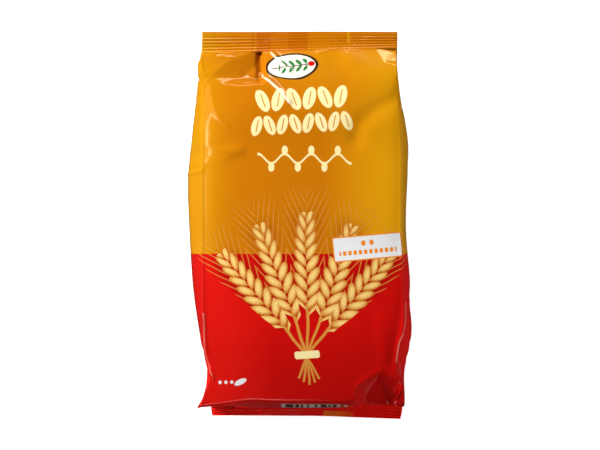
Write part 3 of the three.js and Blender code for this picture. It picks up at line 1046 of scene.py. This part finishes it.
AMBER, SHADE_AMBER = colour_at(191, 111, 7), colour_at(160, 92, 4)
GOLD, SUNNY = colour_at(202, 136, 9), colour_at(222, 154, 12)
GUSSET_AMBER, SHADED_LEFT_AMBER = colour_at(174, 122, 5), colour_at(186, 122, 6)
HALO_AMBER, SEAL_BAND_AMBER = colour_at(170, 88, 8), colour_at(168, 74, 4)
RED, DEEP_RED, LIT_FIN_RED = colour_at(192, 13, 9), colour_at(150, 10, 6), colour_at(232, 24, 16)
LIT_LEFT_RED, SHADED_LEFT_RED = colour_at(206, 21, 15), colour_at(172, 14, 10)
ORANGE, GREEN = colour_at(226, 128, 30), colour_at(46, 120, 62)
DARK, BROWN, TAN = colour_at(52, 30, 20), colour_at(158, 84, 26), colour_at(205, 138, 58)
RULED_BROWN, STRAW = colour_at(150, 96, 50), colour_at(236, 200, 120)
CREAM, IVORY = colour_at(240, 222, 160), colour_at(228, 222, 206)
CREST_HIGHLIGHT_WHITE = colour_at(246, 236, 210)
WHITE, SHADED_CODE_GREY = colour_at(222, 222, 222), colour_at(158, 154, 146)
print("amber in linear numbers:", np.round(AMBER[:3], 3))

# %% [markdown]
# ## The two fields of colour
# Amber above and red below, all round the bag. Both change slowly across the bag.
# The amber is golden at the left and sunny at the right. It is deeper towards the top as painted
# shade, since the top lies nearer to the lamps. The red is lighter at the left and deeper at the lower
# right as painted light and shade, and brightest on the fin as painted light, since the fin lies in
# the bag's shadow. The left gusset is darker as painted shade. On the back all of these changes fade
# out, so that both edges of the film meet at the long seam in the same colour.

# %% Fields of colour
# u and v are millimetres of film: u is 0 in the middle of the front and v at half its height. The
# two numbers of a ramp are the place where a change has not begun and the place where it is whole.
RED_EDGE = -17.6

off_the_back = ramp(abs(u), 190, 120)
below_seal = ramp(v, 128, 124)
golden = ramp(u, -34, -68)
amber = paint(AMBER, GOLD, golden * golden * off_the_back)
sunny = larger(ramp(u, 14, 60), ramp(v, 70, 125) * ramp(u, -30, 20) * 0.6) * below_seal
amber = paint(amber, SUNNY, sunny * off_the_back)
amber = paint(amber, GUSSET_AMBER, ramp(abs(u), 66, 74) * 0.9)
# painted shade: the amber is made deeper towards the top, which lies nearer to the lamps
amber = paint(amber, SHADE_AMBER, ramp(v, 45, 95) * below_seal * off_the_back * 0.3)
# painted shade: the red is deeper towards the bottom and the lower right
red = paint(RED, DEEP_RED, ramp(v, -60, -120) * ramp(u, -50, 30) * off_the_back * 0.5)
# painted light: the red is lighter at the left, where the lamps fall
red = paint(red, LIT_LEFT_RED, ramp(u, -20, -50) * off_the_back)
# painted light: the fin, which lies in the bag's shadow, is given a brighter red
red = paint(red, LIT_FIN_RED, v < float(bottom_v / MM))
# painted shade: both fields are darker over the left gusset and the edge beside it
left_gusset_shade = ramp(u, -64, -71) * off_the_back * ramp(abs(v + 25), 85, 55) * 0.8
amber = paint(amber, SHADED_LEFT_AMBER, left_gusset_shade)
red = paint(red, SHADED_LEFT_RED, left_gusset_shade)
print_colour = paint(amber, red, ink(v - RED_EDGE, 0.15))
# besides print, the coats carry painted highlights along the creases and the painted shade of the code
# field
coats = []  # all that is printed over the two fields, in order: its colour and its cover
print("amber above", RED_EDGE, "mm, and red below")

# %% [markdown]
# ## A sheaf of wheat ears
# Five ears fan out from a tie. In places given by distance and angle from the tie, all five are one
# ear repeated every 20 degrees. An ear is a stack of tilted grains: the place along the ear less a
# share of the place across it, taken in equal steps, left and right half a step apart.

# %% The sheaf
TIE = (3, -86)
FAN_STEP = 20  # degrees from ear to ear
EAR_START = 33
EAR_LENGTH = 66
EAR_HALF_WIDTH = 9.6
GRAIN_STEP = 8.2
GRAIN_TILT = 0.85
AWN_TILT = 2.1
TAIL_STEP = 12
WOBBLE, WOBBLE_SIZE = 3, 26  # how far the drawn lines stray, and over what length


def grain(x, y, size, detail=2.0):
    """Noise between 0 and 1, with patches of a size in millimetres."""
    place_node = nodes.new("ShaderNodeCombineXYZ")
    join(x / size, place_node.inputs[0])
    join(y / size, place_node.inputs[1])
    noise = nodes.new("ShaderNodeTexNoise")
    noise.inputs["Scale"].default_value = 1
    noise.inputs["Detail"].default_value = detail
    links.new(place_node.outputs[0], noise.inputs["Vector"])
    return Field(noise.outputs[0])


sheaf_x = u - TIE[0] + (grain(u, v, WOBBLE_SIZE) - 0.5) * WOBBLE
sheaf_y = v - TIE[1] + (grain(u + 90, v, WOBBLE_SIZE) - 0.5) * WOBBLE
reach = distance_from(sheaf_x, sheaf_y)
bearing = calculate("ARCTAN2", sheaf_x, sheaf_y) * (180 / np.pi)
ear_number = (bearing / FAN_STEP + 0.5).floor()
off_axis = (bearing - ear_number * FAN_STEP) * (np.pi / 180)
ear_x = reach * calculate("SINE", off_axis)
in_fan = abs(ear_number) < 2.5
ear_y = reach * calculate("COSINE", off_axis) - (EAR_START - abs(ear_number) * 3)
up_ear = ear_y / EAR_LENGTH
narrow = 1 - up_ear * up_ear * 0.5
across_ear = abs(ear_x) / narrow
half_step = (ear_x > 0) * (GRAIN_STEP / 2)
stack = ear_y - across_ear * GRAIN_TILT + half_step
in_step = stack % GRAIN_STEP - GRAIN_STEP / 2
grain_x, grain_y = across_ear - EAR_HALF_WIDTH * 0.47, in_step
round_grain = distance_from(grain_x / (EAR_HALF_WIDTH * 0.56), grain_y / (GRAIN_STEP * 0.5))
in_ear = (stack > -3) * (ear_y < EAR_LENGTH - 2) * in_fan
ear_ink = ink((round_grain - 1) * 4, 0.25) * in_ear
print("grains to a side of an ear:", int(EAR_LENGTH / GRAIN_STEP))

# %% Awns, stalks and tie
# Thin strokes stand off each ear, stalks run to the tie, and their tails fan out below it. A halo
# of deeper colour sets the sheaf off from the fields.
halo = ink(abs(ear_x) - EAR_HALF_WIDTH - 1, 4) * ramp(ear_y, -6, 4) * ramp(ear_y, 70, 58) * in_fan
stroke = abs((ear_y - abs(ear_x) * AWN_TILT + half_step) % GRAIN_STEP - GRAIN_STEP / 2)
awn_ink = ink(stroke - 0.7, 0.4) * ramp(ear_y, 6, 14) * ink(abs(ear_x) - 15, 3) * in_fan
awn_ink = awn_ink * ink(ear_y - EAR_LENGTH - 12, 5)
stalk_ink = ink(abs(ear_x) - 0.9, 0.3) * ramp(reach, 1, 3) * (ear_y < 4) * in_fan
under_tie = calculate("ARCTAN2", sheaf_x, sheaf_y * -1) * (180 / np.pi)
tail_number = (under_tie / TAIL_STEP + 0.5).floor()
tail_off = (under_tie - tail_number * TAIL_STEP) * (np.pi / 180)
tail_end = 21 - abs(tail_number) * 1.5
tail_ink = ink(abs(reach * calculate("SINE", tail_off)) - 0.8, 0.3)
tail_ink = tail_ink * ink(reach - tail_end) * (abs(tail_number) < 2.5) * (sheaf_y < 0)
strokes_ink = larger(awn_ink * 0.8, larger(stalk_ink, tail_ink))
ribbon = bar(*turned(u, v, TIE, 4), 8.5, 2.6, 1.6)

baked = grain(u, v, 1.1, 4)
light = (1 - round_grain * round_grain) * 0.75 + grain_y * 0.05 + (baked - 0.5) * 0.7 + 0.18
ear_colour = paint(paint(BROWN, TAN, ramp(light, 0.0, 0.45)), STRAW, ramp(light, 0.42, 0.95))
shade = paint(print_colour, DEEP_RED, (v < RED_EDGE) * 0.75)
shade = paint(shade, HALO_AMBER, (v > RED_EDGE) * 0.65)
coats += [(shade, halo), (TAN, strokes_ink), (ear_colour, ear_ink), (CREAM, ink(ribbon))]
print("the sheaf is tied at", TIE)

# %% [markdown]
# ## Plates and ornaments
# A pale oval plate with a sprig is at the top. Below it are two rows of plump cream grains and a
# wavy twig with berries. A white card with dots and bars is on the right, and small marks are near
# the bottom.

# %% Plate with a sprig
plate_x, plate_y = turned(u, v, (-2.6, 114), 4)
plate = oval(plate_x, plate_y, 17.6, 11)
from_stem = abs(plate_y - plate_x * 0.08)
leaf_x = (plate_x + 12) % 4.8 - 2.4
leaf_side = from_stem - 2.7 + leaf_x * 0.55
leaves = oval(leaf_x + leaf_side * 0.4, leaf_side, 1.9, 1.9)
leaves_ink = ink(leaves) * ink(abs(plate_x - 1) - 9.6)
stem_ink = ink(from_stem - 0.4) * ink(abs(plate_x) - 13)
berry = oval(plate_x - 13.2, plate_y - 1.1, 2.2, 2.2)
coats += [(DARK, ink(plate - 0.2)), (IVORY, ink(plate + 1.1))]
coats += [(GREEN, leaves_ink), (DARK, stem_ink), (RED, ink(berry))]
print("coats of ink so far:", len(coats))

# %% Rows of grains and a twig
ROW_TILT = 3.5
TWIG_WAVE = 18


def grain_row(centre, degrees, half_width, step, tall, wide):
    """A row of plump grains, each with a thin furrow, leaning left and right by turns."""
    x, y = turned(u, v, centre, degrees)
    number = (x / step).floor()
    lean = (number % 2 - 0.5) * 0.5
    x_in = x - (number + 0.5) * step + y * lean
    body = ink(oval(x_in, y, wide, tall)) * ink(abs(x) - half_width)
    furrow = ink(abs(x_in - 0.3) - 0.35) * ink(abs(y) - tall * 0.62)
    return body * (1 - furrow)


rows_ink = larger(
    grain_row((0, 88.5), ROW_TILT, 32, 64 / 6, 8, 4.4),
    grain_row((0, 71), ROW_TILT, 35, 70 / 8, 6.6, 3.7),
)

twig_x, twig_y = u - 2, v - 47
twig_line = calculate("SINE", twig_x * (2 * np.pi / TWIG_WAVE)) * 3.2
twig_ink = ink(abs(twig_y - twig_line) - 0.9) * ink(abs(twig_x) - 32)
half_wave = TWIG_WAVE / 2
berry_x = twig_x % half_wave - half_wave / 2
berry_up = twig_y + ((twig_x / half_wave).floor() % 2 - 0.5) * 11.5
berries_ink = ink(oval(berry_x, berry_up, 2.1, 3.1)) * ink(abs(twig_x) - 27)
coats += [(CREAM, rows_ink), (CREAM, larger(twig_ink, berries_ink))]
print("coats of ink so far:", len(coats))

# %% Card, marks, bars and seals
card_x, card_y = turned(u, v, (45, -13), 5)
card = bar(card_x, card_y, 23.4, 8, 1.2)
dot_x = card_x % 5.6 - 2.8
card_dots = ink(oval(dot_x, card_y - 3, 1.5, 1.9)) * ink(abs(card_x) - 5.6)
card_bars = ink(bar(card_x % 3.6 - 1.8, card_y + 3, 1.15, 1.5, 0.5)) * ink(abs(card_x) - 19.8)
coats += [(ORANGE, ink(card - 0.5)), (WHITE, ink(card + 0.3))]
coats += [(ORANGE, larger(card_dots, card_bars))]

mark_x, mark_y = u + 50, v + 105
leaf_mark = oval(*turned(mark_x, mark_y, (6, 0), 25), 4.4, 1.9)
dot_marks = oval((mark_x + 10) % 4 - 2, mark_y, 1.1, 1.1)
coats += [(WHITE, larger(ink(leaf_mark), ink(dot_marks) * ink(abs(mark_x + 4) - 6)))]

code_x, code_y = u - 6, v + 129
code_widths = grain((u * 0.8).floor() * 7.31 + 0.37, 0.4, 1) > 0.47
code_bars = code_widths * ink(bar(code_x, code_y, 19.5, 6.4, 0.2))
fin_patch = ink(bar(u - 23, v + 168, 11, 5, 0.5)) * ramp(u, 40, 22) * 0.6  # on the bottom seal
# painted shade: the code field is grey rather than white, as it lies on the shaded bottom wall
coats += [(SHADED_CODE_GREY, ink(bar(code_x, code_y, 21, 7, 0.5))), (DARK, code_bars), (ORANGE, fin_patch)]

# the top seal is darker in two bands, with a fainter one between them
on_seal = ink(float(top_v / MM) - v, 0.3)
seal_bands = larger((u > -30) * (u < -20), (u > -8.3) * (u < 5.5)) * 0.55
seal_bands = larger(seal_bands, (u > -20) * (u < -8.3) * 0.3)
coats += [(SEAL_BAND_AMBER, seal_bands * on_seal)]
print("coats of ink so far:", len(coats))

# %% [markdown]
# ## Painted highlights along the creases
# Pale lines are painted where the film's sharp crests catch glints. Two such lines start at the top
# seal, and two finer ones follow the lower edges. The ink grows out of the distance to the nearest
# stretch of each line.

# %% Painted highlights along the creases
# half of each painted highlight's width in millimetres, and how strong it is
PAINTED_HIGHLIGHTS = {
    "crest from the seal": (0.5, 0.75),
    "crest over the shoulder": (0.7, 0.85),
    "right lower edge": (0.1, 0.35),
    "left lower edge": (0.1, 0.3),
}


def film_places(line):
    """The film's own (u, v) at each (x, y) place of a line, from the nearest grid point above it.
    A whole metre is added to the gaps beyond the front, so that none of them is the nearest."""
    line_x, line_y = np.array(line).T[:, :, None, None] * MM
    gap = np.hypot(x - line_x, y - line_y) + (beyond > 5 * MM)
    nearest = gap.reshape(len(line), -1).argmin(1)
    return (film_u[nearest % columns] / MM).tolist(), (film_v[nearest // columns] / MM).tolist()


def from_line(line):
    """Distance to a chain of (x, y) places on the front, in millimetres of film."""
    at_u, at_v = film_places(line)
    nearest = 1000
    for k in range(len(line) - 1):
        run_x, run_y = at_u[k + 1] - at_u[k], at_v[k + 1] - at_v[k]
        from_x, from_y = u - at_u[k], v - at_v[k]
        along_run = from_x * run_x + from_y * run_y
        t = calculate("MULTIPLY", along_run, 1 / (run_x**2 + run_y**2), clamp=True)
        nearest = smaller(distance_from(from_x - t * run_x, from_y - t * run_y), nearest)
    return nearest


# painted highlight along each listed crest
for name, (half_width, strength) in PAINTED_HIGHLIGHTS.items():
    coats += [(CREST_HIGHLIGHT_WHITE, ink(from_line(CRESTS[name][0]) - half_width, 0.5) * strength)]
print(len(PAINTED_HIGHLIGHTS), "pale lines")

# %% [markdown]
# ## The back
# The back carries the same two fields, with a plain cream panel of thin ruled lines on each side of
# the long seam. Then all coats are laid over the fields in their order.

# %% Panel on the back, and all coats of ink
from_seam = AROUND / MM / 2 - abs(u)
panel_x = from_seam - 38
panel = bar(panel_x, v - 30, 22, 42, 3)
ruled = ink(abs(v % 6 - 3) - 0.25, 0.15) * ink(panel + 4)
coats += [(CREAM, ink(panel)), (RULED_BROWN, ruled)]
for colour, cover in coats:
    print_colour = paint(print_colour, colour, cover)
print("the print takes", len(coats), "coats and", len(nodes), "nodes")

# %% [markdown]
# ## Glossy film
# The film is smooth plastic, so its roughness is low. Its mirror images are held back a little, as
# strong ones would hide the print, and a trace of metal tints them with the print's own colour.

# %% Film
film_shader = nodes["Principled BSDF"]
join(print_colour, film_shader.inputs["Base Color"])
film_shader.inputs["Roughness"].default_value = 0.15
film_shader.inputs["Metallic"].default_value = 0.1
film_shader.inputs["Specular IOR Level"].default_value = 0.35
bag.data.materials.append(film_material)
print("the film's material is", bag.data.materials[0].name)

# %% [markdown]
# ## Where the bag rides
# The film rides on the part's only body and takes the place of the plain solid.

# %% Ride
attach(bag, "root")
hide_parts("film_bag")
print("one piece rides on the root")

# %% [markdown]
# ## Floor and light
# Glossy film mirrors every lamp as a white patch. So the boxes that light its colours are kept out
# of its reflections, as crossed polarisers would do, and the panels that give it its glints light
# nothing else. A tilted facet mirrors what stands at twice its own tilt, and the place of each
# glint panel follows from that. The floor glows a little, so that it stays pale.

# %% Floor
bpy.ops.mesh.primitive_plane_add(size=6)
floor = bpy.context.object
floor.name = "floor"
floor.location.z = -0.2 * MM  # a hair lower than the bag, so that the two never share a plane
floor_material = bpy.data.materials.new("pale_floor")
floor_material.use_nodes = True
floor_shader = floor_material.node_tree.nodes["Principled BSDF"]
floor_shader.inputs["Base Color"].default_value = (0.6, 0.6, 0.6, 1)
floor_shader.inputs["Roughness"].default_value = 0.9
floor_shader.inputs["Emission Color"].default_value = (1, 1, 1, 1)
floor_shader.inputs["Emission Strength"].default_value = 0.8
floor.data.materials.append(floor_material)
floor.visible_glossy = False
print("the floor is", floor.dimensions.x, "m wide")

# %% Light
AIM = Vector((0, 0, 0.03))

world = bpy.data.worlds.new("studio")
bpy.context.scene.world = world
world.use_nodes = True
world.node_tree.nodes["Background"].inputs["Color"].default_value = (1, 1, 1, 1)
world.node_tree.nodes["Background"].inputs["Strength"].default_value = 0.015


def softbox(name, spot, wide, high, watts, glint):
    """A rectangular lamp that aims at the bag. It lights colours only, or makes glints only."""
    light = bpy.data.lights.new(name, "AREA")
    light.shape = "RECTANGLE"
    light.size, light.size_y = wide, high
    light.energy = watts
    box = bpy.data.objects.new(name, light)
    box.location = spot
    box.rotation_euler = (AIM - Vector(spot)).to_track_quat("-Z", "Y").to_euler()
    box.visible_diffuse = not glint
    box.visible_glossy = glint
    bpy.context.scene.collection.objects.link(box)


# each lamp's place, width, height and power, in metres and watts
SOFTBOXES = {
    "key_softbox": ((-1.05, 0.81, 0.75), 0.5, 0.4, 49),
    "right_softbox": ((1.05, -0.10, 0.60), 0.4, 0.3, 5),
    "foot_softbox": ((0.80, -0.70, 0.60), 0.4, 0.3, 4.5),
}
GLINTS = {
    "left_glint": ((-0.83, 0.00, 0.85), 0.95, 0.05, 2.0),
    "head_glint": ((0.10, 1.17, 0.24), 0.9, 0.12, 3.5),
    "right_glint": ((1.10, -0.10, 0.18), 0.6, 0.2, 0.5),
    "foot_glint": ((-0.25, -0.86, 0.86), 0.5, 0.04, 1.0),
    "corner_glint": ((0.50, -1.07, 0.20), 0.12, 0.12, 0.06),
}
for lamps, glint in ((SOFTBOXES, False), (GLINTS, True)):
    for name, lamp in lamps.items():
        softbox(name, *lamp, glint)
bpy.context.scene.view_settings.view_transform = "Standard"
print(len(SOFTBOXES), "softboxes and", len(GLINTS), "glint panels")
